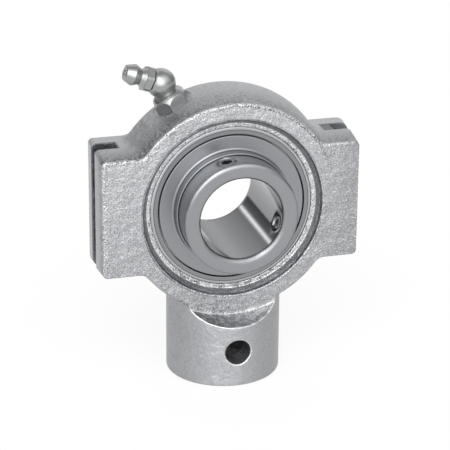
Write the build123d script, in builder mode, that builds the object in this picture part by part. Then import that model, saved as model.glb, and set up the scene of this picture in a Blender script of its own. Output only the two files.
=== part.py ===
"""Take-up bearing unit.

A cast housing slides on two guide rails that run in its side grooves, and a rod in its boss
pulls it along them. A self-aligning set-screw insert bearing sits in the housing's spherical seat.

Millimetres. The origin is the centre of the bearing, the shaft runs along Y, the set screws are
on the -Y side, which is the front, and +Z is up, with the boss below.
"""
import os
from math import cos, hypot, pi, radians, sin, sqrt, tan

from build123d import *

# Insert bearing, from the shaft outwards
shaft_diameter = 25.0
inner_ring_wall = 4.5
raceway_depth = 1.489           # of both raceways below their shoulders
raceway_share = 0.52            # radius of the raceways as a share of the ball's diameter
ball_diameter = 7.938
ball_count = 9
ball_gap = 0.02                 # between a ball and the bottom of each raceway
outer_ring_wall = 2.511         # behind the raceway, which makes the insert 52 across
outer_ring_width = 17.0
front_extension = 11.3          # how far the inner ring stands out of the outer ring, by the set screws
rear_extension = 5.8
outer_edge_round = 0.45
bore_chamfer = 0.6
rim_chamfer = 0.7
ring_feed_hole = 1.8

# Cage
cage_band = 2.7                 # radial width of the ribbons
cage_sheet = 0.6
pocket_gap = 0.08
rivet_diameter = 1.2
rivet_head_diameter = 2.1
rivet_head_height = 0.35

# Seals and flingers
flinger_step = 0.35             # from the outer ring's shoulder to the step round the flinger
flinger_gap = 0.22              # between the flinger's rim and that step
flinger_sheet = 0.6
flinger_collar = 1.7            # how far the collar reaches along the inner ring
flinger_bend = 0.5
flinger_stand = 0.1             # how far the flinger stands out of the outer ring's face
seal_sheet = 0.5
seal_groove_depth = 0.55
seal_depth = 1.5                # from the outer ring's face to the middle of the seal's steel ring
lip_width = 1.2
lip_height = 1.66
lip_gap = 0.04                  # between the lip and the inner ring

# Set screws, drawn at the pitch diameter of their thread
screw_diameter = 5.5
screw_length = 4.0
screw_to_face = 4.9             # from the inner ring's front face to the screws' axis
screw_gap = 0.04
screw_tip_recess = 0.25         # the tip stands back this much from the bore
screw_tip_chamfer = 0.9
screw_cup_radius = 1.4
screw_cup_depth = 0.5
screw_top_chamfer = 0.4
screw_socket = 3.0              # across the flats of the hexagon
screw_socket_depth = 1.9
screw_countersink = 0.45
first_screw_angle = 102.0       # from +X towards +Z
screw_angle_step = 120.0

# Housing ring
seat_gap = 0.03                 # between the outer ring and its seat
ring_wall = 6.3                 # outside the outer ring, at the front face
ring_widening = 1.9             # from the front face to the crest of the ring
ring_narrowing = 2.9            # from the crest to the rear face
ring_crest_y = 6.0
ring_crest_round = 3.0
front_recess_depth = 2.5        # from the casting's face to the outer ring's face
rear_recess_depth = 3.7
recess_floor_width = 1.2
recess_bevel_width = 1.75
loading_slot_gap = 0.3          # on each side of an outer ring that is turned to go in
grease_groove_centre = 3.6      # behind the middle of the bearing
grease_groove_width = 4.4
grease_groove_depth = 0.8
front_edge_round = 0.6
rear_edge_round = 0.75

# Lugs with the guide grooves
right_lug_front = 38.55         # from the middle to the lug's side, at the front face
right_lug_rear = 41.7
left_lug_front = 39.5
left_lug_rear = 38.5
lug_top = 17.85
lug_bottom = 18.2               # at the front face, and lower towards the rear
lug_bottom_angle = 10.0
right_groove_floor = 34.5       # from the middle
left_groove_floor = 32.0
groove_width = 5.8
groove_centre = 3.7             # behind the middle of the bearing
lug_root_radius = 3.5
lug_small_corner = 1.4
right_front_corner = 1.8        # at the top
right_rear_corner = 3.0
left_front_corner = 1.5         # at the bottom
left_rear_corner = 3.0

# Boss for the take-up rod
boss_diameter = 34.4
boss_length = 22.3              # below the ring
boss_edge_round = 0.7
rod_bore_diameter = 21.0
rod_bore_depth = 17.6
rod_bore_chamfer = 0.8
cross_hole_diameter = 8.0
cross_hole_height = 11.1        # from the boss's end to the axis of the hole for the rod's pin
shoulder_step = 1.1             # from the ring to the top of the shoulder above the boss
shoulder_fall = 2.0             # from there to the boss's wall
shoulder_hollow = 0.45          # how much the shoulder sags between the two

# Grease fitting
fitting_angle = 117.3
fitting_y = 1.7
pad_sink = 0.15                 # of the spot face below the ring's middle radius
pad_margin = 0.9                # of the spot face round the elbow's hexagon
thread_diameter = 6.3
thread_length = 4.6
feed_hole_diameter = 2.4
elbow_hex = 9.3
elbow_hex_height = 2.1          # of its corners, which are cut by the dome above
elbow_turn_angle = -13.0
elbow_dome_height = 2.65
elbow_dome_bulge = 0.65         # of the dome outside a straight cone
elbow_neck_radius = 3.0
elbow_ball_rise = 3.05          # from the top of the dome to the middle of the ball
elbow_ball_radius = 4.4
elbow_bend_angle = 41.7
outlet_face = 3.0               # from the ball's middle to the flat that the nipple screws against
passage_radius = 1.2

# Nipple, from the elbow outwards
nipple_thread_radius = 2.4
nipple_thread_length = 2.1
nipple_collar_radius = 3.0
nipple_collar_length = 0.3
nipple_hex = 7.0
nipple_hex_length = 2.1
nipple_hex_round = 3.85
nipple_turn_angle = 18.0
nipple_shoulder_radius = 3.3
nipple_shoulder_length = 1.4
nipple_neck_radius = 2.35
nipple_rise_length = 2.1
nipple_head_radius = 3.25
nipple_taper_length = 2.5
nipple_tip_radius = 2.3
nipple_dome_length = 0.15
nipple_dome_radius = 1.9

# Valve in the nipple
check_ball_radius = 1.2
check_ball_gap = 0.02
valve_gap = 0.3                 # round the check ball
valve_outlet_radius = 0.8
valve_outlet_length = 0.9
valve_inlet_radius = 0.85
valve_inlet_length = 0.7
spring_wire = 0.4
spring_turns = 8

# Sizes that follow from the ones above
shaft_radius = shaft_diameter / 2
ball_radius = ball_diameter / 2
ring_half_width = outer_ring_width / 2
inner_ring_radius = shaft_radius + inner_ring_wall
inner_ring_front = ring_half_width + front_extension
inner_ring_rear = ring_half_width + rear_extension
raceway_radius = ball_diameter * raceway_share
inner_track_bottom = inner_ring_radius - raceway_depth
pitch_radius = inner_track_bottom + ball_gap + ball_radius
outer_track_bottom = pitch_radius + ball_radius + ball_gap
outer_shoulder_radius = outer_track_bottom - raceway_depth
insert_radius = outer_track_bottom + outer_ring_wall
track_edge = sqrt(raceway_radius**2 - (raceway_radius - raceway_depth) ** 2)
flinger_bore = outer_shoulder_radius + flinger_step
flinger_radius = flinger_bore - flinger_gap
seal_middle = ring_half_width - seal_depth
seal_groove_radius = flinger_bore + seal_groove_depth
lip_radius = inner_ring_radius + lip_gap
seal_shell_bore = lip_radius + lip_height
screw_y = -inner_ring_front + screw_to_face
pocket_radius = ball_radius + pocket_gap
cage_inner_radius = pitch_radius - cage_band / 2
cage_outer_radius = pitch_radius + cage_band / 2
seat_radius = insert_radius + seat_gap
seat_edge_radius = sqrt(seat_radius**2 - ring_half_width**2)
recess_floor_radius = seat_edge_radius + recess_floor_width
recess_mouth_radius = recess_floor_radius + recess_bevel_width
ring_front = ring_half_width + front_recess_depth
ring_rear = ring_half_width + rear_recess_depth
ring_front_radius = insert_radius + ring_wall
ring_crest_radius = ring_front_radius + ring_widening
ring_rear_radius = ring_crest_radius - ring_narrowing
lug_reach = max(right_lug_front, right_lug_rear, left_lug_front, left_lug_rear)
boss_radius = boss_diameter / 2
boss_bottom = ring_front_radius + boss_length
cross_hole_z = -boss_bottom + cross_hole_height
shoulder_inner_radius = ring_front_radius + shoulder_step
shoulder_outer_radius = shoulder_inner_radius + shoulder_fall
pad_height = ring_front_radius + ring_widening / 2 - pad_sink
pad_radius = elbow_hex / sqrt(3) + pad_margin
elbow_corner_radius = elbow_hex / sqrt(3)
elbow_neck_height = elbow_hex_height + elbow_dome_height
elbow_ball_height = elbow_neck_height + elbow_ball_rise
nipple_start = outlet_face - nipple_thread_length
nipple_hex_start = outlet_face + nipple_collar_length
nipple_hex_end = nipple_hex_start + nipple_hex_length
nipple_neck_at = nipple_hex_end + nipple_shoulder_length
nipple_head_at = nipple_neck_at + nipple_rise_length
nipple_tip_at = nipple_head_at + nipple_taper_length
nipple_end = nipple_tip_at + nipple_dome_length
valve_bore_radius = check_ball_radius + valve_gap
valve_floor_at = nipple_start + valve_outlet_length
valve_roof_at = nipple_end - valve_inlet_length
check_ball_at = valve_roof_at - sqrt(check_ball_radius**2 - valve_inlet_radius**2) - check_ball_gap
spring_radius = check_ball_radius - spring_wire / 2

os.makedirs("parts", exist_ok=True)


def radial_plane(angle, distance, y):
    """Plane whose normal points away from the shaft axis at an angle, at a distance from that axis."""
    direction = (cos(radians(angle)), 0, sin(radians(angle)))
    origin = (distance * direction[0], y, distance * direction[2])
    return Plane(origin=origin, x_dir=(0, 1, 0), z_dir=direction)


def save(piece, label):
    """Names a finished piece and writes its file."""
    piece.part.label = label
    export_step(piece.part, f"parts/{label}.step")


# Housing: the ring, the lugs and the boss as one casting, then everything that is cut into it
with BuildPart() as housing:
    with BuildSketch(Plane.XY):
        with BuildLine():
            Polyline(
                (0, -ring_front),
                (ring_front_radius, -ring_front),
                (ring_crest_radius, ring_crest_y),
                (ring_rear_radius, ring_rear),
                (0, ring_rear),
                close=True,
            )
        ring_profile = make_face()
        fillet(ring_profile.vertices().sort_by(Axis.X)[-1], radius=ring_crest_round)
    revolve(axis=Axis.Y)

    lug_drop = (ring_front + ring_rear) * tan(radians(lug_bottom_angle))
    with BuildSketch(Plane.YZ.offset(-lug_reach)):
        with BuildLine():
            Polyline(
                (-ring_front, -lug_bottom),
                (ring_rear, -lug_bottom - lug_drop),
                (ring_rear, lug_top),
                (-ring_front, lug_top),
                close=True,
            )
        make_face()
    extrude(amount=2 * lug_reach)
    with BuildSketch(Plane.XY):
        with BuildLine():
            Polyline(
                (-left_lug_front, -ring_front),
                (right_lug_front, -ring_front),
                (right_lug_rear, ring_rear),
                (-left_lug_rear, ring_rear),
                close=True,
            )
        make_face()
    extrude(amount=2 * ring_crest_radius, both=True, mode=Mode.INTERSECT)

    def is_lug_root(edge):
        """Concave edge where a lug runs into the ring."""
        middle = edge.center()
        on_ring = abs(hypot(middle.X, middle.Z) - (ring_rear_radius + ring_crest_radius) / 2) < 1.5
        return on_ring and abs(edge.tangent_at(0.5).Y) > 0.6 and abs(middle.X) > ring_front_radius / 2

    fillet(housing.edges().filter_by(is_lug_root), radius=lug_root_radius)

    # Guide grooves, open at the top, at the bottom and on the outside
    with BuildSketch(Plane.XY):
        with Locations((right_groove_floor, groove_centre)):
            Rectangle(lug_reach, groove_width, align=(Align.MIN, Align.CENTER))
        with Locations((-left_groove_floor, groove_centre)):
            Rectangle(lug_reach, groove_width, align=(Align.MAX, Align.CENTER))
    extrude(amount=lug_top + lug_bottom + lug_drop, both=True, mode=Mode.SUBTRACT)

    def lug_corner(side, above, behind):
        """Outer corner edge of one flange of one lug."""

        def chosen(edge):
            middle = edge.center()
            return (
                side * middle.X > max(right_groove_floor, left_groove_floor) + 1
                and abs(edge.tangent_at(0.5).Y) > 0.9
                and (middle.Z > 0) == above
                and (middle.Y > groove_centre) == behind
            )

        return housing.edges().filter_by(chosen)

    fillet(lug_corner(1, True, True), radius=right_rear_corner)
    fillet(lug_corner(1, True, False), radius=right_front_corner)
    fillet(lug_corner(-1, False, True), radius=left_rear_corner)
    fillet(lug_corner(-1, False, False), radius=left_front_corner)
    fillet(
        lug_corner(-1, True, True)
        + lug_corner(1, False, True)
        + lug_corner(-1, True, False)
        + lug_corner(1, False, False),
        radius=lug_small_corner,
    )

    # Rounded outline of the front and rear faces
    fillet(housing.faces().sort_by(Axis.Y)[0].edges(), radius=front_edge_round)
    fillet(housing.faces().sort_by(Axis.Y)[-1].edges(), radius=rear_edge_round)

    # Boss, cut back in front of and behind the ring to a hollow shoulder
    with BuildSketch(Plane.XY.offset(-boss_bottom)):
        Circle(boss_radius)
    extrude(amount=boss_bottom - boss_radius)
    with BuildSketch(Plane.XY):
        for face, outwards in ((-ring_front, -1), (ring_rear, 1)):
            boss_face = outwards * boss_radius
            beyond = 2 * boss_face - face
            hollow_radius = (shoulder_inner_radius + shoulder_outer_radius) / 2 + shoulder_hollow
            with BuildLine():
                Line((0, face), (shoulder_inner_radius, face))
                ThreePointArc(
                    (shoulder_inner_radius, face),
                    (hollow_radius, (face + boss_face) / 2),
                    (shoulder_outer_radius, boss_face),
                )
                Polyline((shoulder_outer_radius, boss_face), (shoulder_outer_radius, beyond), (0, beyond), (0, face))
            make_face()
    revolve(axis=Axis.Y, mode=Mode.SUBTRACT)
    fillet(housing.faces().sort_by(Axis.Z)[0].edges(), radius=boss_edge_round)

    # Spherical seat with its grease groove, and a bevelled recess in front and behind
    with BuildSketch(Plane.XY):
        with BuildLine():
            Polyline(
                (0, ring_rear),
                (recess_mouth_radius, ring_rear),
                (recess_floor_radius, ring_half_width),
                (seat_edge_radius, ring_half_width),
            )
            ThreePointArc((seat_edge_radius, ring_half_width), (seat_radius, 0), (seat_edge_radius, -ring_half_width))
            Polyline(
                (seat_edge_radius, -ring_half_width),
                (recess_floor_radius, -ring_half_width),
                (recess_mouth_radius, -ring_front),
                (0, -ring_front),
                (0, ring_rear),
            )
        make_face()
        with Locations((seat_radius + grease_groove_depth - seat_radius / 2, grease_groove_centre)):
            Rectangle(seat_radius, grease_groove_width)
    revolve(axis=Axis.Y, mode=Mode.SUBTRACT)

    # Loading slots: the insert goes in from behind, turned by a quarter, and is then turned back
    with BuildSketch(Plane.XZ.offset(-ring_rear)):
        Circle(seat_radius)
        Rectangle(2 * seat_radius, outer_ring_width + 2 * loading_slot_gap, mode=Mode.INTERSECT)
    extrude(amount=ring_rear, mode=Mode.SUBTRACT)

    # Rod bore from below, and the cross hole for the rod's pin
    with BuildSketch(Plane.XY.offset(-boss_bottom)):
        Circle(rod_bore_diameter / 2)
    extrude(amount=rod_bore_depth, mode=Mode.SUBTRACT)
    mouth = housing.faces().sort_by(Axis.Z)[0].inner_wires()[0]
    chamfer(mouth.edges(), length=rod_bore_chamfer)
    with BuildSketch(Plane.XZ):
        with Locations((0, cross_hole_z)):
            Circle(cross_hole_diameter / 2)
    extrude(amount=boss_diameter, both=True, mode=Mode.SUBTRACT)

    # Spot face for the grease fitting, its threaded hole and the feed hole into the grease groove
    pad_plane = radial_plane(fitting_angle, pad_height, fitting_y)
    with BuildSketch(pad_plane):
        Circle(pad_radius)
    extrude(amount=-(pad_height - seat_radius - grease_groove_depth))
    with BuildSketch(pad_plane):
        Circle(pad_radius)
    extrude(amount=pad_radius / 2, mode=Mode.SUBTRACT)
    with BuildSketch(pad_plane):
        Circle(thread_diameter / 2)
    extrude(amount=-thread_length, mode=Mode.SUBTRACT)
    with BuildSketch(pad_plane):
        Circle(feed_hole_diameter / 2)
    extrude(amount=-(pad_height - seat_radius), mode=Mode.SUBTRACT)
save(housing, "housing")

# Outer ring: spherical outside, deep raceway, and in each end a step for the flinger and a seal groove
with BuildPart() as outer_ring:
    edge_radius = sqrt(insert_radius**2 - ring_half_width**2)
    seal_groove_inside = seal_middle - seal_sheet
    seal_groove_outside = seal_middle + seal_sheet / 2
    with BuildSketch(Plane.XY) as outer_profile:
        with BuildLine():
            ThreePointArc((edge_radius, -ring_half_width), (insert_radius, 0), (edge_radius, ring_half_width))
            Polyline(
                (edge_radius, ring_half_width),
                (flinger_bore, ring_half_width),
                (flinger_bore, seal_groove_outside),
                (seal_groove_radius, seal_groove_outside),
                (seal_groove_radius, seal_groove_inside),
                (outer_shoulder_radius, seal_groove_inside),
                (outer_shoulder_radius, track_edge),
            )
            ThreePointArc(
                (outer_shoulder_radius, track_edge),
                (outer_track_bottom, 0),
                (outer_shoulder_radius, -track_edge),
            )
            Polyline(
                (outer_shoulder_radius, -track_edge),
                (outer_shoulder_radius, -seal_groove_inside),
                (seal_groove_radius, -seal_groove_inside),
                (seal_groove_radius, -seal_groove_outside),
                (flinger_bore, -seal_groove_outside),
                (flinger_bore, -ring_half_width),
                (edge_radius, -ring_half_width),
            )
        make_face()
        rim = outer_profile.vertices().sort_by(Axis.X)[-2:]
        fillet(rim, radius=outer_edge_round)
    revolve(axis=Axis.Y)
    feed_hole_y = (track_edge + seal_groove_inside) / 2
    for feed_angle in (fitting_angle, fitting_angle + 180):
        with BuildSketch(radial_plane(feed_angle, insert_radius, feed_hole_y)):
            Circle(ring_feed_hole / 2)
        extrude(amount=-(insert_radius - pitch_radius), mode=Mode.SUBTRACT)
save(outer_ring, "outer_ring")

# Inner ring: extended to the front, with two threaded holes for the set screws
with BuildPart() as inner_ring:
    with BuildSketch(Plane.XY) as inner_profile:
        with BuildLine():
            Polyline(
                (inner_ring_radius, -track_edge),
                (inner_ring_radius, -inner_ring_front),
                (shaft_radius, -inner_ring_front),
                (shaft_radius, inner_ring_rear),
                (inner_ring_radius, inner_ring_rear),
                (inner_ring_radius, track_edge),
            )
            ThreePointArc(
                (inner_ring_radius, track_edge),
                (inner_track_bottom, 0),
                (inner_ring_radius, -track_edge),
            )
        make_face()
        by_radius = inner_profile.vertices().group_by(Axis.X)
        chamfer(by_radius[0], length=bore_chamfer)
        chamfer(by_radius[-1].sort_by(Axis.Y)[0] + by_radius[-1].sort_by(Axis.Y)[-1], length=rim_chamfer)
    revolve(axis=Axis.Y)
    for screw_index in range(2):
        angle = first_screw_angle - screw_index * screw_angle_step
        with Locations(radial_plane(angle, inner_ring_radius, screw_y)):
            CounterSinkHole(screw_diameter / 2, screw_diameter / 2 + screw_countersink, inner_ring_radius)
save(inner_ring, "inner_ring")

# Set screws: cup tip towards the shaft, hexagon socket outside
for screw_index in range(2):
    angle = first_screw_angle - screw_index * screw_angle_step
    tip_plane = radial_plane(angle, shaft_radius + screw_tip_recess, screw_y)
    screw_radius = screw_diameter / 2 - screw_gap
    with BuildPart() as set_screw:
        with BuildSketch(Plane(origin=tip_plane.origin, x_dir=tip_plane.x_dir, z_dir=-tip_plane.y_dir)):
            with BuildLine():
                Polyline(
                    (0, screw_cup_depth),
                    (screw_cup_radius, 0),
                    (screw_radius - screw_tip_chamfer, 0),
                    (screw_radius, screw_tip_chamfer),
                    (screw_radius, screw_length - screw_top_chamfer),
                    (screw_radius - screw_top_chamfer, screw_length),
                    (0, screw_length),
                    close=True,
                )
            make_face()
        revolve(axis=Axis(tip_plane.origin, tip_plane.z_dir))
        with BuildSketch(tip_plane.offset(screw_length)):
            RegularPolygon(radius=screw_socket / 2, side_count=6, major_radius=False)
        extrude(amount=-screw_socket_depth, mode=Mode.SUBTRACT)
    save(set_screw, f"set_screw_{screw_index + 1}")

# Balls, evenly spaced from the top
for ball_index in range(ball_count):
    angle = radians(90 + ball_index * 360 / ball_count)
    with BuildPart(Plane((pitch_radius * cos(angle), 0, pitch_radius * sin(angle)))) as ball:
        Sphere(ball_radius)
    save(ball, f"ball_{ball_index + 1}")


def pocket_places():
    """Places of the ball pockets round the shaft axis."""
    return PolarLocations(pitch_radius, ball_count, start_angle=90)


def rivet_places():
    """Places of the rivets, midway between the balls."""
    return PolarLocations(pitch_radius, ball_count, start_angle=90 + 180 / ball_count)


# Cage: two pressed ribbons that dish round the balls and meet between them
for label, side in (("cage_front", -1), ("cage_rear", 1)):
    with BuildPart() as cage_half:
        with BuildSketch(Plane.XY):
            with BuildLine():
                Polyline(
                    (cage_inner_radius, 0),
                    (cage_outer_radius, 0),
                    (cage_outer_radius, side * cage_sheet),
                    (cage_inner_radius, side * cage_sheet),
                    close=True,
                )
            make_face()
        revolve(axis=Axis.Y)
        with Locations(Plane.XZ):
            with pocket_places():
                Sphere(pocket_radius + cage_sheet)
        with BuildSketch(Plane.XY):
            with BuildLine():
                Polyline(
                    (cage_inner_radius, 0),
                    (cage_outer_radius, 0),
                    (cage_outer_radius, side * ball_diameter),
                    (cage_inner_radius, side * ball_diameter),
                    close=True,
                )
            make_face()
        revolve(axis=Axis.Y, mode=Mode.INTERSECT)
        with Locations(Plane.XZ):
            with pocket_places():
                Sphere(pocket_radius, mode=Mode.SUBTRACT)
            with rivet_places():
                Cylinder(rivet_diameter / 2, ball_diameter, mode=Mode.SUBTRACT)
    save(cage_half, label)

# Rivets: a shank through both halves, with a head at each end
with BuildPart() as cage_rivets:
    with Locations(Plane.XZ):
        with rivet_places():
            Cylinder(rivet_diameter / 2, 2 * cage_sheet)
    for head_start in (cage_sheet, -cage_sheet - rivet_head_height):
        with Locations(Plane.XZ.offset(head_start)):
            with rivet_places():
                Cylinder(rivet_head_diameter / 2, rivet_head_height, align=(Align.CENTER, Align.CENTER, Align.MIN))
save(cage_rivets, "cage_rivets")

# Seals and flingers, one set at each end
for end, side in (("front", -1), ("rear", 1)):
    shell_outside = side * (seal_middle + seal_sheet / 2)
    shell_inside = side * (seal_middle - seal_sheet / 2)
    with BuildPart() as seal_shell:
        with BuildSketch(Plane.XY):
            with BuildLine():
                Polyline(
                    (seal_shell_bore, shell_inside),
                    (seal_groove_radius, shell_inside),
                    (seal_groove_radius, shell_outside),
                    (seal_shell_bore, shell_outside),
                    close=True,
                )
            make_face()
        revolve(axis=Axis.Y)
    save(seal_shell, f"{end}_seal_shell")

    with BuildPart() as seal_lip:
        lip_inside = shell_inside - side * (lip_width - seal_sheet) / 2
        lip_outside = shell_outside + side * (lip_width - seal_sheet) / 2
        backing_radius = (seal_shell_bore + seal_groove_radius) / 2
        with BuildSketch(Plane.XY):
            with BuildLine():
                Polyline(
                    (lip_radius, (lip_inside + lip_outside) / 2),
                    (lip_radius, lip_outside),
                    (seal_shell_bore, shell_outside),
                    (seal_shell_bore, shell_inside),
                    (backing_radius, shell_inside),
                    (backing_radius, lip_inside),
                    (seal_shell_bore - seal_sheet, lip_inside),
                    close=True,
                )
            make_face()
        revolve(axis=Axis.Y)
    save(seal_lip, f"{end}_seal_lip")

    with BuildPart() as flinger:
        face = side * (ring_half_width + flinger_stand)
        back = face - side * flinger_sheet
        collar_end = back + side * flinger_collar
        collar_radius = inner_ring_radius + flinger_sheet
        with BuildSketch(Plane.XY) as flinger_profile:
            with BuildLine():
                Polyline(
                    (inner_ring_radius, back),
                    (flinger_radius, back),
                    (flinger_radius, face),
                    (collar_radius, face),
                    (collar_radius, collar_end),
                    (inner_ring_radius, collar_end),
                    close=True,
                )
            make_face()
            bend = flinger_profile.vertices().group_by(Axis.X)[1].sort_by(lambda corner: abs(corner.Y))[0]
            fillet(bend, radius=flinger_bend)
        revolve(axis=Axis.Y)
    save(flinger, f"{end}_flinger")

# Grease fitting: the elbow's centre lies above the spot face, and its outlet leans to the left
elbow_centre_distance = pad_height + elbow_ball_height
elbow_centre = radial_plane(fitting_angle, elbow_centre_distance, fitting_y).origin
outlet_angle = radians(fitting_angle + elbow_bend_angle)
outlet_direction = Vector(cos(outlet_angle), 0, sin(outlet_angle))


def outlet_plane(distance):
    """Plane across the nipple's axis, at a distance from the elbow's centre."""
    return Plane(origin=elbow_centre + outlet_direction * distance, x_dir=(0, 1, 0), z_dir=outlet_direction)


def outlet_profile_plane():
    """Plane that holds the nipple's axis as its local Y, with radii along its local X."""
    return Plane(origin=elbow_centre, x_dir=(0, 1, 0), z_dir=Vector(0, 1, 0).cross(outlet_direction))


with BuildPart() as fitting_elbow:
    base_plane = radial_plane(fitting_angle, pad_height, fitting_y)
    with BuildSketch(base_plane):
        RegularPolygon(radius=elbow_hex / 2, side_count=6, major_radius=False, rotation=elbow_turn_angle)
    extrude(amount=elbow_ball_height)
    with BuildSketch(Plane(origin=base_plane.origin, x_dir=(0, 1, 0), z_dir=-base_plane.y_dir)):
        bulge_radius = (elbow_corner_radius + elbow_neck_radius) / 2 + elbow_dome_bulge
        with BuildLine():
            Polyline((0, 0), (elbow_corner_radius, 0), (elbow_corner_radius, elbow_hex_height))
            ThreePointArc(
                (elbow_corner_radius, elbow_hex_height),
                (bulge_radius, (elbow_hex_height + elbow_neck_height) / 2),
                (elbow_neck_radius, elbow_neck_height),
            )
            Polyline(
                (elbow_neck_radius, elbow_neck_height),
                (elbow_neck_radius, elbow_ball_height),
                (0, elbow_ball_height),
                (0, 0),
            )
        make_face()
    revolve(axis=Axis(base_plane.origin, base_plane.z_dir), mode=Mode.INTERSECT)
    with BuildSketch(base_plane):
        Circle(thread_diameter / 2)
    extrude(amount=-thread_length)
    with Locations(elbow_centre):
        Sphere(elbow_ball_radius)
    with BuildSketch(outlet_plane(outlet_face)):
        Circle(elbow_ball_radius)
    extrude(amount=elbow_ball_radius, mode=Mode.SUBTRACT)
    with BuildSketch(radial_plane(fitting_angle, pad_height - thread_length, fitting_y)):
        Circle(passage_radius)
    extrude(amount=thread_length + elbow_ball_height, mode=Mode.SUBTRACT)
    with BuildSketch(outlet_plane(0)):
        Circle(passage_radius)
    extrude(amount=outlet_face, mode=Mode.SUBTRACT)
    with BuildSketch(outlet_plane(nipple_start)):
        Circle(nipple_thread_radius)
    extrude(amount=outlet_face, mode=Mode.SUBTRACT)
save(fitting_elbow, "fitting_elbow")

# Nipple: threaded end, hexagon collar, waist and head, hollow for the valve
with BuildPart() as fitting_nipple:
    with BuildSketch(outlet_profile_plane()):
        with BuildLine():
            Polyline(
                (0, nipple_start),
                (nipple_thread_radius, nipple_start),
                (nipple_thread_radius, outlet_face),
                (nipple_collar_radius, outlet_face),
                (nipple_collar_radius, nipple_hex_end),
                (nipple_shoulder_radius, nipple_hex_end),
                (nipple_neck_radius, nipple_neck_at),
                (nipple_head_radius, nipple_head_at),
                (nipple_tip_radius, nipple_tip_at),
                (nipple_dome_radius, nipple_end),
                (0, nipple_end),
                close=True,
            )
        make_face()
    revolve(axis=Axis(elbow_centre, outlet_direction))
    with BuildSketch(outlet_plane(nipple_hex_start)):
        RegularPolygon(radius=nipple_hex / 2, side_count=6, major_radius=False, rotation=nipple_turn_angle)
        Circle(nipple_hex_round, mode=Mode.INTERSECT)
    extrude(amount=nipple_hex_end - nipple_hex_start)
    with BuildSketch(outlet_plane(valve_floor_at)):
        Circle(valve_bore_radius)
    extrude(amount=valve_roof_at - valve_floor_at, mode=Mode.SUBTRACT)
    with BuildSketch(outlet_plane(valve_roof_at)):
        Circle(valve_inlet_radius)
    extrude(amount=nipple_end, mode=Mode.SUBTRACT)
    with BuildSketch(outlet_plane(nipple_start)):
        Circle(valve_outlet_radius)
    extrude(amount=valve_floor_at - nipple_start, mode=Mode.SUBTRACT)
save(fitting_nipple, "fitting_nipple")

with BuildPart(outlet_plane(check_ball_at)) as check_ball:
    Sphere(check_ball_radius)
save(check_ball, "check_ball")

# Valve spring, from the floor of the valve's bore to the back of the ball
spring_start = valve_floor_at + spring_wire / 2 + check_ball_gap
spring_end = check_ball_at - sqrt((check_ball_radius + spring_wire / 2) ** 2 - spring_radius**2) - check_ball_gap
with BuildPart() as check_spring:
    with BuildLine():
        coil = Helix(
            pitch=(spring_end - spring_start) / spring_turns,
            height=spring_end - spring_start,
            radius=spring_radius,
            center=elbow_centre + outlet_direction * spring_start,
            direction=outlet_direction,
        )
    with BuildSketch(Plane(origin=coil @ 0, z_dir=coil % 0)):
        Circle(spring_wire / 2)
    sweep(is_frenet=True)
save(check_spring, "check_spring")
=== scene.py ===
"""Looks of the take-up bearing unit, in metres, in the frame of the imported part.

The shaft runs along Y, the front is -Y, +Z is up, and the origin is the middle of the bearing.
"""

from math import cos, pi, radians, sin

import bpy
import numpy as np
from mathutils import Matrix, Vector


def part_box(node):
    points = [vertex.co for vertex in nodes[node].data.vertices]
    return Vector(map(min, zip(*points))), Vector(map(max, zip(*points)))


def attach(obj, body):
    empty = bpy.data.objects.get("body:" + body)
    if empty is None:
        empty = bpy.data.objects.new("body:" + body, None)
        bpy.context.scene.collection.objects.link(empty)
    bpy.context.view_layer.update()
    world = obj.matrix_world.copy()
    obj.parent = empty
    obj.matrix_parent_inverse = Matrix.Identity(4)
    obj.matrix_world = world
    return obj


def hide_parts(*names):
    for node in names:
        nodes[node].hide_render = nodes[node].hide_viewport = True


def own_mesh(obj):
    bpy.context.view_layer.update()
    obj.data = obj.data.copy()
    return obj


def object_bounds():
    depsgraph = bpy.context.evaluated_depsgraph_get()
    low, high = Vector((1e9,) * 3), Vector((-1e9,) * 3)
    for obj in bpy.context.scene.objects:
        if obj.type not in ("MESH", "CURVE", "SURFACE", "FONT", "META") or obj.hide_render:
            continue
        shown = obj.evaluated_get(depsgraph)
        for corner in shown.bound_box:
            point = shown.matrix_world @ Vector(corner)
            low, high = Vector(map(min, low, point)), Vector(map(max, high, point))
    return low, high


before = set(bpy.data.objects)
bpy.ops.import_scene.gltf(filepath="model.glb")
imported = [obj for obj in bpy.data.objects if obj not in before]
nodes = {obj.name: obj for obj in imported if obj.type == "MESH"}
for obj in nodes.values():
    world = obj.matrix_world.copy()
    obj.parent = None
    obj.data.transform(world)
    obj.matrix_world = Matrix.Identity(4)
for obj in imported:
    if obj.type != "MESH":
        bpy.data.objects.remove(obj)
cad_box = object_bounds()
mm = 0.001

MATH = "ShaderNodeMath"
VECTOR = "ShaderNodeVectorMath"
RAMP = "ShaderNodeMapRange"
MIX = "ShaderNodeMix"  # mixes inputs 2 and 3 if they are numbers, or 6 and 7 if colours; input 0 is the second's share
NOISE = "ShaderNodeTexNoise"
BUMP = "ShaderNodeBump"
BEVEL = "ShaderNodeBevel"
PARTS = "ShaderNodeSeparateXYZ"
COORDINATES = "ShaderNodeTexCoord"
GEOMETRY = "ShaderNodeNewGeometry"
ACROSS_SHAFT = (1, 0, 1)
ACROSS_BOSS = (1, 1, 0)


# ---------------------------------------------------------------- nodes
def linear(hex_colour):
    """An sRGB hex colour as linear red, green, blue and alpha."""
    parts = [int(hex_colour[i:i + 2], 16) / 255 for i in (1, 3, 5)]
    return [c / 12.92 if c <= 0.04045 else ((c + 0.055) / 1.055) ** 2.4 for c in parts] + [1.0]


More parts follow.
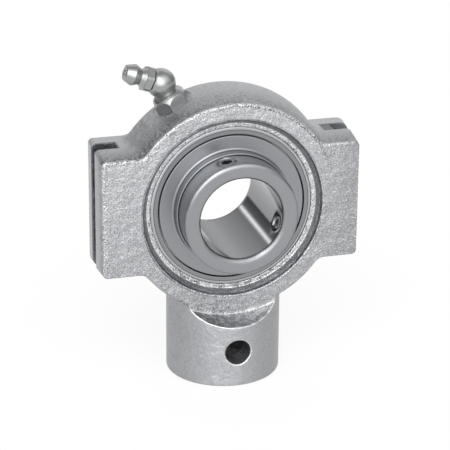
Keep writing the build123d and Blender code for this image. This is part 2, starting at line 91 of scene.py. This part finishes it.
def feed(node, inputs):
    """Fills or links a node's inputs, given in order or by name or number.

    A node among the inputs stands for its output in use.
    """
    for name, value in inputs.items() if isinstance(inputs, dict) else enumerate(inputs):
        if isinstance(value, bpy.types.Node):
            value = next(output for output in value.outputs if output.enabled)
        if isinstance(value, bpy.types.NodeSocket):
            node.id_data.links.new(value, node.inputs[name])
        else:
            node.inputs[name].default_value = value


def add(tree, kind, inputs=(), **settings):
    """Adds a node, sets its properties, and fills or links its inputs."""
    made = tree.nodes.new(kind)
    for name, value in settings.items():
        setattr(made, name, value)
    feed(made, inputs)
    return made


def masked(tree, share, *steps):
    """A share, lowered step by step.

    Each step is a value, where its ramp starts and ends, and the factors at both, if they aren't 0 and 1.
    """
    for step in steps:
        share = add(tree, MATH, (share, add(tree, RAMP, step)), operation="MULTIPLY")
    return share


def from_axis(tree, place, across):
    """Distance of a place from an axis through the origin, measured along the directions across it."""
    flat = add(tree, VECTOR, (place, across), operation="MULTIPLY")
    return add(tree, VECTOR, (flat,), operation="LENGTH")


def emptied(owner):
    """The node tree of a material or world, with nothing in it."""
    owner.use_nodes = True
    owner.node_tree.nodes.clear()
    return owner.node_tree


# ---------------------------------------------------------------- materials
def new_material(name, metallic, roughness, colour):
    """A material with one Principled shader on its output, its tree and its shader."""
    material = bpy.data.materials.new(name)
    tree = emptied(material)
    shader = add(tree, "ShaderNodeBsdfPrincipled",
                 {"Base Color": linear(colour), "Metallic": metallic, "Roughness": roughness})
    add(tree, "ShaderNodeOutputMaterial", {"Surface": shader})
    return material, tree, shader


def nickel_plated_casting():
    """Sand-cast iron under thin nickel: bright and grainy on the front faces, grey and smoother round the sides.

    Places and borders are in millimetres. The front's plating is thick and white, that of the sides thin and grey.
    """
    material, tree, shader = new_material("nickel_plated_sand_cast_iron", 1.0, 0.4, "#c9c9cb")
    place = add(tree, COORDINATES).outputs["Object"]
    in_mm = add(tree, VECTOR, (place, (1 / mm, 1 / mm, 1 / mm)), operation="MULTIPLY")
    x, y, z = add(tree, PARTS, (in_mm,)).outputs
    aside = add(tree, MATH, (x,), operation="ABSOLUTE")
    radius = from_axis(tree, in_mm, ACROSS_SHAFT)
    boss_radius = from_axis(tree, in_mm, ACROSS_BOSS)

    # Moulding sand, 0.5 mm across, its finer grit, lumps of 1.5 mm and slow unevenness of 5 mm,
    # each from how many grains there are to the millimetre
    sand, grit, lumps, slow = (
        add(tree, NOISE, {"Vector": place, "Scale": grains / mm, "Detail": detail, "Roughness": fineness})
        for grains, detail, fineness in ((1.9, 2.5, 0.6), (3.4, 1.0, 0.5), (0.64, 3.0, 0.5), (0.19, 2.0, 0.5)))

    # The recess round the insert and its bevelled mouth, the boss below the ring, the hollow between the two,
    # the guide grooves, and the upper right of the front. A step 0.002 mm long is a sharp border
    recess = masked(tree, 1.0, (radius, 26.1, 25.9), (y, -8.2, -8.4))
    bevel = masked(tree, 1.0, (radius, 28.1, 27.7), (radius, 25.6, 25.9), (y, -7.8, -8.2))
    on_boss = masked(tree, 1.0, (boss_radius, 17.501, 17.499), (radius, 32.999, 33.001), (z, -24.999, -25.001))
    hollow = masked(tree, 1.0, (boss_radius, 17.051, 17.049), (radius, 32.399, 32.401), (z, -24.999, -25.001),
                    (z, -37.2, -36.8))
    painted_groove_shade = masked(tree, 1.0, (aside, 31.2, 31.6), (y, 0.759, 0.761), (y, 6.641, 6.639))
    upper_right = masked(tree, 1.0, (x, 6.0, 14.0), (z, 10.0, 16.0))

    # Front faces: all that lies before an uneven line, and the recess's floor, but not the boss
    uneven_y = add(tree, MATH, (sand, y), operation="ADD")
    front = add(tree, MATH, (add(tree, RAMP, (uneven_y, -9.4, -10.1)), recess), operation="MAXIMUM")
    front = masked(tree, front, (on_boss, 1.0, 0.0))
    front_or_boss = add(tree, MATH, (front, on_boss), operation="MAXIMUM")

    # How far inside the outline of the front face a place lies, by its lugs or by its ring
    from_ring, from_side, from_top = (
        add(tree, MATH, (border, value), operation="SUBTRACT")
        for border, value in ((32.3, radius), (39.2, aside), (17.9, z)))
    from_bottom = add(tree, MATH, (z, 18.4), operation="ADD")
    from_outline = from_top
    for operation, border in (("MINIMUM", from_bottom), ("MINIMUM", from_side), ("MAXIMUM", from_ring)):
        from_outline = add(tree, MATH, (from_outline, border), operation=operation)
    edge = masked(tree, front, (from_outline, 3.0, 0.4), (z, -24.0, -14.0, 0.35, 1.0),
                  (upper_right, 0.0, 1.0, 1.0, 0.6))
    side_edge = masked(tree, 1.0, (y, -4.5, -9.0), (front_or_boss, 1.0, 0.0))
    upper_side = masked(tree, 1.0, (y, 4.0, -6.0), (z, 5.0, 15.0), (front, 1.0, 0.0))

    # Relief: strong near the outline, fair on the front, faint on the sides and the boss
    rough = add(tree, RAMP, (front, 0.0, 1.0, 0.45, 0.9))
    for share, strength in ((edge, 1.5), (side_edge, 0.9), (recess, 1.5), (upper_side, 1.2)):
        share = add(tree, MATH, (share, strength), operation="MULTIPLY")
        rough = add(tree, MATH, (rough, share), operation="MAXIMUM")
    rough = masked(tree, rough, (bevel, 0.0, 1.0, 1.0, 0.4), (on_boss, 0.0, 1.0, 1.0, 0.85))
    in_hollow = add(tree, MATH, (hollow, 0.9), operation="MULTIPLY")
    rough = add(tree, MATH, (rough, in_hollow), operation="MAXIMUM")
    grains = add(tree, MATH, (grit, 0.4, sand), operation="MULTIPLY_ADD")
    relief = add(tree, MATH, (grains, rough), operation="MULTIPLY")
    swell = add(tree, MATH, (lumps, 0.45, slow), operation="MULTIPLY_ADD")
    # Cast edges are never sharp: their normals turn over 0.9 mm, and a painted highlight in white lies on them
    normal = rounded = add(tree, BEVEL, {"Radius": 0.9 * mm}, samples=8)
    for height, depth in ((relief, 0.22), (swell, 0.70)):
        normal = add(tree, BUMP, {"Height": height, "Strength": 1.0, "Distance": depth * mm, "Normal": normal})
    facing = add(tree, GEOMETRY).outputs["True Normal"]
    turned = add(tree, VECTOR, (rounded, facing), operation="DOT_PRODUCT")
    painted_edge_highlight = masked(tree, front_or_boss, (turned, 0.97, 0.88), (upper_right, 1.0, 0.0),
                  (grit, 0.35, 0.60, 0.2, 0.8))

    # Dark streaks of very thin plating run along the sides from the front edge; they are made stronger towards the
    # left as painted shade in the concave shoulder above the left lug, and the guide grooves are painted dark as shade
    # inside them
    stretched = add(tree, "ShaderNodeMapping", {"Vector": place, "Scale": (1.0, 0.45, 1.0)})
    streaks = add(tree, NOISE, {"Vector": stretched, "Scale": 1.1 / mm, "Detail": 3.0, "Roughness": 0.65})
    streaked_y = add(tree, MATH, (streaks, 6.0, y), operation="MULTIPLY_ADD")
    slanting = add(tree, MATH, (x, z), operation="ADD")
    thin = masked(tree, 1.0, (streaked_y, -1.5, -8.5), (slanting, -8.0, 20.0, 1.0, 0.6),
                  (streaks, 0.56, 0.46, 0.05, 0.95))
    side_tone = linear("#acaeb1")
    for share, colour in ((add(tree, RAMP, (y, -4.0, 7.0)), "#bcbec0"), (thin, "#4a4c4f"), (bevel, "#bbbdc0"),
                          (painted_groove_shade, "#74767a")):
        side_tone = add(tree, MIX, {0: share, 6: side_tone, 7: linear(colour)}, data_type="RGBA")

    # The front is a little darker below and at the far right
    front_tone = linear("#bcbdc0")
    for step, colour in (((z, 15.0, -34.0), "#a4a5a8"), ((x, 20.0, 40.0), "#9c9da0")):
        share = add(tree, RAMP, step)
        front_tone = add(tree, MIX, {0: share, 6: front_tone, 7: linear(colour)}, data_type="RGBA")

    # Below the middle the recess's bevel is wider: a band of painted shade runs from it out onto the front, to an
    # uneven border
    band_end = add(tree, MATH, (sand, 0.4, 27.2), operation="MULTIPLY_ADD")
    band_end = add(tree, MATH, (add(tree, RAMP, (z, 2.0, -10.0)), 0.7, band_end), operation="MULTIPLY_ADD")
    from_band_end = add(tree, MATH, (band_end, radius), operation="SUBTRACT")
    band = masked(tree, front, (from_band_end, 0.0, 0.001), (radius, 26.999, 27.0))
    # Painted highlight and shade: the boss is painted brightest up its middle, and the hollow above it painted light
    # towards the right and dark towards the left, mottled by lumps
    from_middle = add(tree, MATH, (x, 1.0), operation="ADD")
    from_middle = add(tree, MATH, (slow, 6.0, from_middle), operation="MULTIPLY_ADD")
    from_middle = add(tree, MATH, (from_middle,), operation="ABSOLUTE")
    boss_tone_with_painted_sheen = add(tree, MIX, {0: add(tree, RAMP, (from_middle, 2.0, 13.0)), 6: linear("#b6b7ba"),
                                7: linear("#a2a3a6")}, data_type="RGBA")
    painted_light_and_lumps = add(tree, MATH, (add(tree, RAMP, (x, -13.0, 8.0, 0.0, 0.7)),
                               add(tree, RAMP, (lumps, 0.40, 0.62, -0.2, 0.5))), operation="ADD")
    hollow_tone_with_painted_light = add(tree, MIX, {0: painted_light_and_lumps, 6: linear("#8c8e91"), 7: linear("#cfd0d2")}, data_type="RGBA")
    # Pits low in the recess's floor, dark dashes just inside the outline at the upper right, painted shade in the gaps
    # between the grains, and painted glints in white on their crests
    pits = masked(tree, recess, (z, -15.0, -21.0), (lumps, 0.50, 0.45), (grit, 0.62, 0.45))
    from_dashes = add(tree, MATH, (radius, 31.6), operation="SUBTRACT")
    from_dashes = add(tree, MATH, (from_dashes,), operation="ABSOLUTE")
    dashes = masked(tree, front, (from_dashes, 0.5, 0.2), (x, -4.0, 2.0), (z, 8.0, 14.0), (sand, 0.56, 0.46))
    painted_shade_between_grains = masked(tree, rough, (sand, 0.50, 0.30, 0.0, 0.9))
    painted_glints = edge
    for share, strength in ((front, 0.35), (on_boss, 0.12)):
        share = add(tree, MATH, (share, strength), operation="MULTIPLY")
        painted_glints = add(tree, MATH, (painted_glints, share), operation="MAXIMUM")
    painted_glints = masked(tree, painted_glints, (grit, 0.54, 0.68))

    tone = side_tone
    for share, colour in (
        (front, front_tone),
        (recess, linear("#d4d5d7")),
        (band, linear("#818286")),
        (on_boss, boss_tone_with_painted_sheen),
        (pits, linear("#4c4d50")),
        (dashes, linear("#66676a")),
        (hollow, hollow_tone_with_painted_light),
        (painted_shade_between_grains, linear("#6e7073")),
        (painted_glints, linear("#ffffff")),
        (painted_edge_highlight, linear("#ffffff")),
    ):
        tone = add(tree, MIX, {0: share, 6: tone, 7: colour}, data_type="RGBA")
    matt = add(tree, RAMP, (front, 0.0, 1.0, 0.45, 0.36))
    feed(shader, {"Base Color": tone, "Roughness": matt, "Normal": normal})
    return material


def ground_steel(name, colour, roughness, line, edge, bands=()):
    """Hardened steel, ground: fine lines run round the shaft axis, and edges are rounded by the given radius.

    Each band, from one radius to another, has its own colour and polish. Lengths are in millimetres.
    """
    material, tree, shader = new_material(name, 1.0, roughness, colour)
    place = add(tree, COORDINATES).outputs["Object"]
    radius = from_axis(tree, place, ACROSS_SHAFT)
    parts = add(tree, PARTS, (place,)).outputs
    section = add(tree, "ShaderNodeCombineXYZ", (radius, parts["Y"]))
    lines = add(tree, NOISE, {"Vector": section, "Scale": 1.0 / (line * mm), "Detail": 2.0})
    rounded = add(tree, BEVEL, {"Radius": edge * mm}, samples=8)
    bump = add(tree, BUMP, {"Height": lines, "Strength": 1.0, "Distance": 0.004 * mm, "Normal": rounded})
    tone, polish = linear(colour), roughness
    for start, end, band_colour, band_roughness in bands:
        middle, half = (start + end) / 2 * mm, (end - start) / 2 * mm
        inside = add(tree, MATH, (radius, middle, half), operation="COMPARE")
        tone = add(tree, MIX, {0: inside, 6: tone, 7: linear(band_colour)}, data_type="RGBA")
        polish = add(tree, MIX, {0: inside, 2: polish, 3: band_roughness})
    feed(shader, {"Base Color": tone, "Roughness": polish, "Normal": bump})
    return material


def plain_metal(name, colour, roughness, grain, depth):
    """A metal with a faint even texture, from the width and depth of its grain in millimetres."""
    material, tree, shader = new_material(name, 1.0, roughness, colour)
    place = add(tree, COORDINATES).outputs["Object"]
    noise = add(tree, NOISE, {"Vector": place, "Scale": 1.0 / (grain * mm), "Detail": 2.0})
    rounded = add(tree, BEVEL, {"Radius": 0.3 * mm}, samples=6)
    bump = add(tree, BUMP, {"Height": noise, "Strength": 1.0, "Distance": depth * mm, "Normal": rounded})
    feed(shader, {"Normal": bump})
    return material


def nitrile_rubber():
    """Moulded seal rubber: matt and nearly black, with the skin of its mould, 0.3 mm wide."""
    material, tree, shader = new_material("nitrile_rubber", 0.0, 0.6, "#17181a")
    place = add(tree, COORDINATES).outputs["Object"]
    noise = add(tree, NOISE, {"Vector": place, "Scale": 3.0 / mm, "Detail": 2.0})
    bump = add(tree, BUMP, {"Height": noise, "Strength": 0.5, "Distance": 0.03 * mm})
    feed(shader, {"Normal": bump})
    return material


casting = nickel_plated_casting()
# The grinding lines of both rings are drawn 0.12 mm wide, because real ones would be too fine to show.
# The inner ring's bore is honed and glossier, and painted darker as shade inside it, and its rim is rounded
inner_steel = ground_steel("ground_inner_ring_steel", "#9a9b9e", 0.22, 0.12, 2.2, [(0.0, 12.6, "#818285", 0.08)])
# The outer ring is grey; round the flinger it is painted near black as painted shade in the narrow gap, and further
# out a dark line of painted shade and a pale band of painted highlight lie on its chamfer
outer_steel = ground_steel("ground_outer_ring_steel", "#8e8f92", 0.28, 0.12, 0.3, [
    (0.0, 22.45, "#0c0c0d", 0.5), (23.55, 23.80, "#66676a", 0.4), (23.80, 30.0, "#b2b3b6", 0.45)])
# The flingers are pressed from sheet steel, which leaves a softer shine and wider lines
flinger_steel = ground_steel("pressed_flinger_steel", "#95979a", 0.34, 0.2, 0.1)
# Bright zinc gives the grease fitting clear, slightly uneven reflections
fitting_zinc = plain_metal("bright_zinc_plated_steel", "#a2a3a3", 0.25, 0.6, 0.02)
# Oiled alloy steel is a darker grey with a soft shine
screw_steel = plain_metal("oiled_alloy_steel", "#8c8d90", 0.3, 0.4, 0.02)
# Polished balls mirror what is round them
ball_steel = plain_metal("polished_ball_steel", "#c8c8ca", 0.08, 2.0, 0.002)
# Pressed sheet steel is light and evenly dull
cage_steel = plain_metal("pressed_cage_steel", "#b0b0b0", 0.35, 0.6, 0.02)
rubber = nitrile_rubber()

for material, dressed in (
    (casting, ["housing"]),
    (outer_steel, ["outer_ring"]),
    (inner_steel, ["inner_ring"]),
    (flinger_steel, ["front_flinger", "rear_flinger"]),
    (cage_steel, ["front_seal_shell", "rear_seal_shell", "cage_front", "cage_rear", "cage_rivets",
                  "check_spring"]),
    (rubber, ["front_seal_lip", "rear_seal_lip"]),
    (screw_steel, ["set_screw_1", "set_screw_2"]),
    (fitting_zinc, ["fitting_elbow", "fitting_nipple"]),
    (ball_steel, ["check_ball"] + [f"ball_{number}" for number in range(1, 10)]),
):
    for name in dressed:
        mesh = nodes[name].data
        mesh.materials.clear()
        mesh.materials.append(material)


# ---------------------------------------------------------------- flingers and valve spring
def new_object(name, points, faces, material, smooth=True):
    """A mesh object at the origin, in one material."""
    mesh = bpy.data.meshes.new(name)
    mesh.from_pydata(points, [], faces)
    mesh.polygons.foreach_set("use_smooth", np.full(len(faces), smooth))
    mesh.materials.append(material)
    made = bpy.data.objects.new(name, mesh)
    bpy.context.scene.collection.objects.link(made)
    return made


def pressed_flinger(name, node, side):
    """A sheet steel ring: rim, flat disc, round bend and collar, pressed in one piece.

    Its closed profile, in radius and distance from the middle, is carried round the shaft axis: the point at
    (s, t) lies at radius r(s), turned by t, at y = side times d(s). The bend is two quarter circles about one
    centre, a sheet's thickness apart. Small steps break the sheet's cut edges.
    """
    sheet, rim, collar, bend, face, reach = 0.60, 21.96, 17.60, 0.70, 8.60, 11.75
    around, in_bend = 192, 14
    arc = np.linspace(0.0, pi / 2, in_bend)
    outer, inner = (np.stack([collar + bend - curve * np.sin(arc), face + bend - curve * np.cos(arc)], 1)
                    for curve in (bend, bend + sheet))
    front_edge = [(rim, face + 0.12 - sheet / 3), (rim - 0.04, face - 0.02), (rim - 0.12, face),
                  (rim - 0.4, face)]
    lip = [(collar, reach - 0.22), (collar - 0.05, reach - 0.08), (collar - 0.2, reach),
           (collar - 0.4, reach), (collar - sheet, reach - 0.15)]
    back_edge = [(rim - 0.3, face - sheet), (rim - 0.05, face - sheet), (rim, face - sheet + 0.05)]
    loop = np.concatenate([front_edge, outer, lip, inner[::-1], back_edge]) * mm
    turn = np.arange(around) * (2 * pi / around)
    radius, away = loop[:, 0][:, None], loop[:, 1][:, None]
    points = np.stack([radius * np.cos(turn), side * away + 0 * turn, radius * np.sin(turn)], -1).reshape(-1, 3)
    rows, columns = np.meshgrid(np.arange(len(loop)), np.arange(around), indexing="ij")
    below, beside = (rows + 1) % len(loop), (columns + 1) % around
    corners = [rows * around + columns, below * around + columns,
               below * around + beside, rows * around + beside]
    faces = np.stack(corners[::side], -1).reshape(-1, 4)
    piece = new_object(name, points, faces, flinger_steel)
    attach(piece, "inner_ring")
    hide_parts(node)


def coiled_valve_spring():
    """The nipple's spring: a circle of wire carried along a helix, drawn at one length; the real one shortens as the
    ball is pressed in.

    The helix at t, from 0 to 1, is start + length t along the nipple + radius (cos a, sin a) across it, with
    a = 2 pi turns t. The tube's point at (t, s) is the helix plus half the wire times (cos s, sin s) in the plane
    of the helix's radius and its binormal.
    """
    length, radius, wire, behind_ball, lift = 6.963 * mm, 1.0 * mm, 0.4 * mm, 1.0 * mm, 0.8 * mm
    turns, per_turn, sides = 8, 28, 12
    ball = np.array(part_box("check_ball")).mean(0)
    lean = radians(69.0)
    outward = np.array([-sin(lean), 0.0, cos(lean)])
    start = ball - outward * (behind_ball + length)
    across = np.array([0.0, 1.0, 0.0])
    beside = np.cross(outward, across)
    t = np.linspace(0.0, 1.0, turns * per_turn + 1)[:, None]
    angle = 2 * pi * turns * t
    radial = np.cos(angle) * across + np.sin(angle) * beside
    along = outward * length + 2 * pi * turns * radius * (np.cos(angle) * beside - np.sin(angle) * across)
    along = along / np.linalg.norm(along, axis=1, keepdims=True)
    binormal = np.cross(along, radial)
    path = start + outward * length * t + radius * radial
    s = (np.arange(sides) * (2 * pi / sides))[None, :, None]
    points = path[:, None] + wire / 2 * (np.cos(s) * radial[:, None] + np.sin(s) * binormal[:, None])
    rows, columns = np.meshgrid(np.arange(len(t) - 1), np.arange(sides), indexing="ij")
    rows, after = rows * sides, (columns + 1) % sides
    quads = np.stack([rows + columns, rows + after, rows + sides + after, rows + sides + columns], -1)
    last = sides * (len(t) - 1)
    ends = [list(range(sides))[::-1], list(range(last, last + sides))]
    faces = quads.reshape(-1, 4).tolist() + ends
    piece = new_object("valve_spring_wire", points.reshape(-1, 3), faces, cage_steel)
    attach(piece, "housing")
    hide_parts("check_spring")
    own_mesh(piece)


pressed_flinger("front_flinger_pressing", "front_flinger", -1)
pressed_flinger("rear_flinger_pressing", "rear_flinger", 1)
coiled_valve_spring()

# ---------------------------------------------------------------- floor
# White paper: it glows for the rays that see it, and lights the part as paper does. Under the open bore of the
# boss it stays dark, as the inside of the casting is
reach, height, open_bore, glow_share = 3.0, cad_box[0].z, 16.5 * mm, 0.85
white = bpy.data.materials.new("white_paper")
tree = emptied(white)
paper = add(tree, "ShaderNodeBsdfDiffuse", {"Color": linear("#f4f4f4")})
glow = add(tree, "ShaderNodeEmission", {"Color": linear("#ffffff"), "Strength": 1.0})
radius = from_axis(tree, add(tree, GEOMETRY).outputs["Position"], ACROSS_BOSS)
rays = add(tree, "ShaderNodeLightPath").outputs
share = rays["Is Camera Ray"]
for operation, value in (
    ("MAXIMUM", rays["Is Glossy Ray"]),
    ("MAXIMUM", rays["Is Transmission Ray"]),
    ("MULTIPLY", add(tree, MATH, (radius, open_bore), operation="GREATER_THAN")),
    ("MULTIPLY", glow_share),
):
    share = add(tree, MATH, (share, value), operation=operation)
add(tree, "ShaderNodeOutputMaterial", {"Surface": add(tree, "ShaderNodeMixShader", (share, paper, glow))})
corners = [(x * reach, y * reach, height) for x, y in ((-1, -1), (1, -1), (1, 1), (-1, 1))]
floor = new_object("floor", corners, [(0, 1, 2, 3)], white, smooth=False)


# ---------------------------------------------------------------- light
def direction(azimuth, elevation):
    """The unit vector towards an azimuth and elevation in degrees, where azimuth 0 is the front."""
    a, e = radians(azimuth), radians(elevation)
    return Vector((sin(a) * cos(e), -cos(a) * cos(e), sin(e)))


# The room: grey walls with soft bright panels, each a round glow of (azimuth, elevation, spread, strength).
# The narrow one gives the bright line in the bore
world = bpy.data.worlds.new("studio")
bpy.context.scene.world = world
tree = emptied(world)
heading = add(tree, VECTOR, (add(tree, COORDINATES).outputs["Generated"],), operation="NORMALIZE")
light = 0.02
for azimuth, elevation, spread, strength in (
    (-11, 20, 23, 2.45),
    (-44, 32, 28, 1.35),
    (38, 45, 23, 1.1),
    (147, 30, 24, 1.2),
    (-148, 42, 19, 0.9),
    (72, 13, 16, 0.35),
    (-157, 15, 1.8, 3.2),
):
    sharpness = 1 / radians(spread) ** 2
    along = add(tree, VECTOR, (heading, direction(azimuth, elevation)), operation="DOT_PRODUCT")
    falling = add(tree, MATH, (along, sharpness, -sharpness), operation="MULTIPLY_ADD")
    glow = add(tree, MATH, (falling,), operation="EXPONENT")
    light = add(tree, MATH, (glow, strength, light), operation="MULTIPLY_ADD")
walls = add(tree, "ShaderNodeBackground", {"Color": linear("#ffffff"), "Strength": light})
add(tree, "ShaderNodeOutputWorld", {"Surface": walls})

# The key light: a small softbox above the left of the front, aimed at the bearing
key_side, key_distance, key_watts = 0.25, 0.8, 0.8
back = direction(-30, 48)
key_data = bpy.data.lights.new("key", "AREA")
key_data.shape = "RECTANGLE"
key_data.size = key_data.size_y = key_side
key_data.energy = key_watts
key = bpy.data.objects.new("key", key_data)
key.location = back * key_distance
key.rotation_mode = "QUATERNION"
key.rotation_quaternion = back.to_track_quat("Z", "Y")
bpy.context.scene.collection.objects.link(key)

# ---------------------------------------------------------------- camera
# Its place, turn and focal length, in pixels of a picture 450 wide, and the pixel on which the origin lies
azimuth, elevation, roll, distance = -16.2510, 21.4978, radians(0.5052), 0.620
picture, focal, centre_x, centre_y = 450, 2079.177, 223.610, 196.460
sensor, nearest, furthest = 36.0, 0.05, 20.0
back = direction(azimuth, elevation)
right = Vector((cos(radians(azimuth)), sin(radians(azimuth)), 0.0))
up = back.cross(right)
right, up = cos(roll) * right + sin(roll) * up, cos(roll) * up - sin(roll) * right
camera_data = bpy.data.cameras.new("camera")
camera_data.sensor_width = sensor
camera_data.lens = focal / picture * sensor
camera_data.clip_start, camera_data.clip_end = nearest, furthest
camera = bpy.data.objects.new("camera", camera_data)
# A pixel's width at the origin; the camera is moved aside so that the origin comes to lie on its own pixel
pixel = distance / focal
spot = back * distance - right * ((centre_x - picture / 2) * pixel) - up * ((picture / 2 - centre_y) * pixel)
camera.matrix_world = Matrix.Translation(spot) @ Matrix((right, up, back)).transposed().to_4x4()
bpy.context.scene.collection.objects.link(camera)
bpy.context.scene.camera = camera
bpy.context.scene.view_settings.view_transform = "Standard"
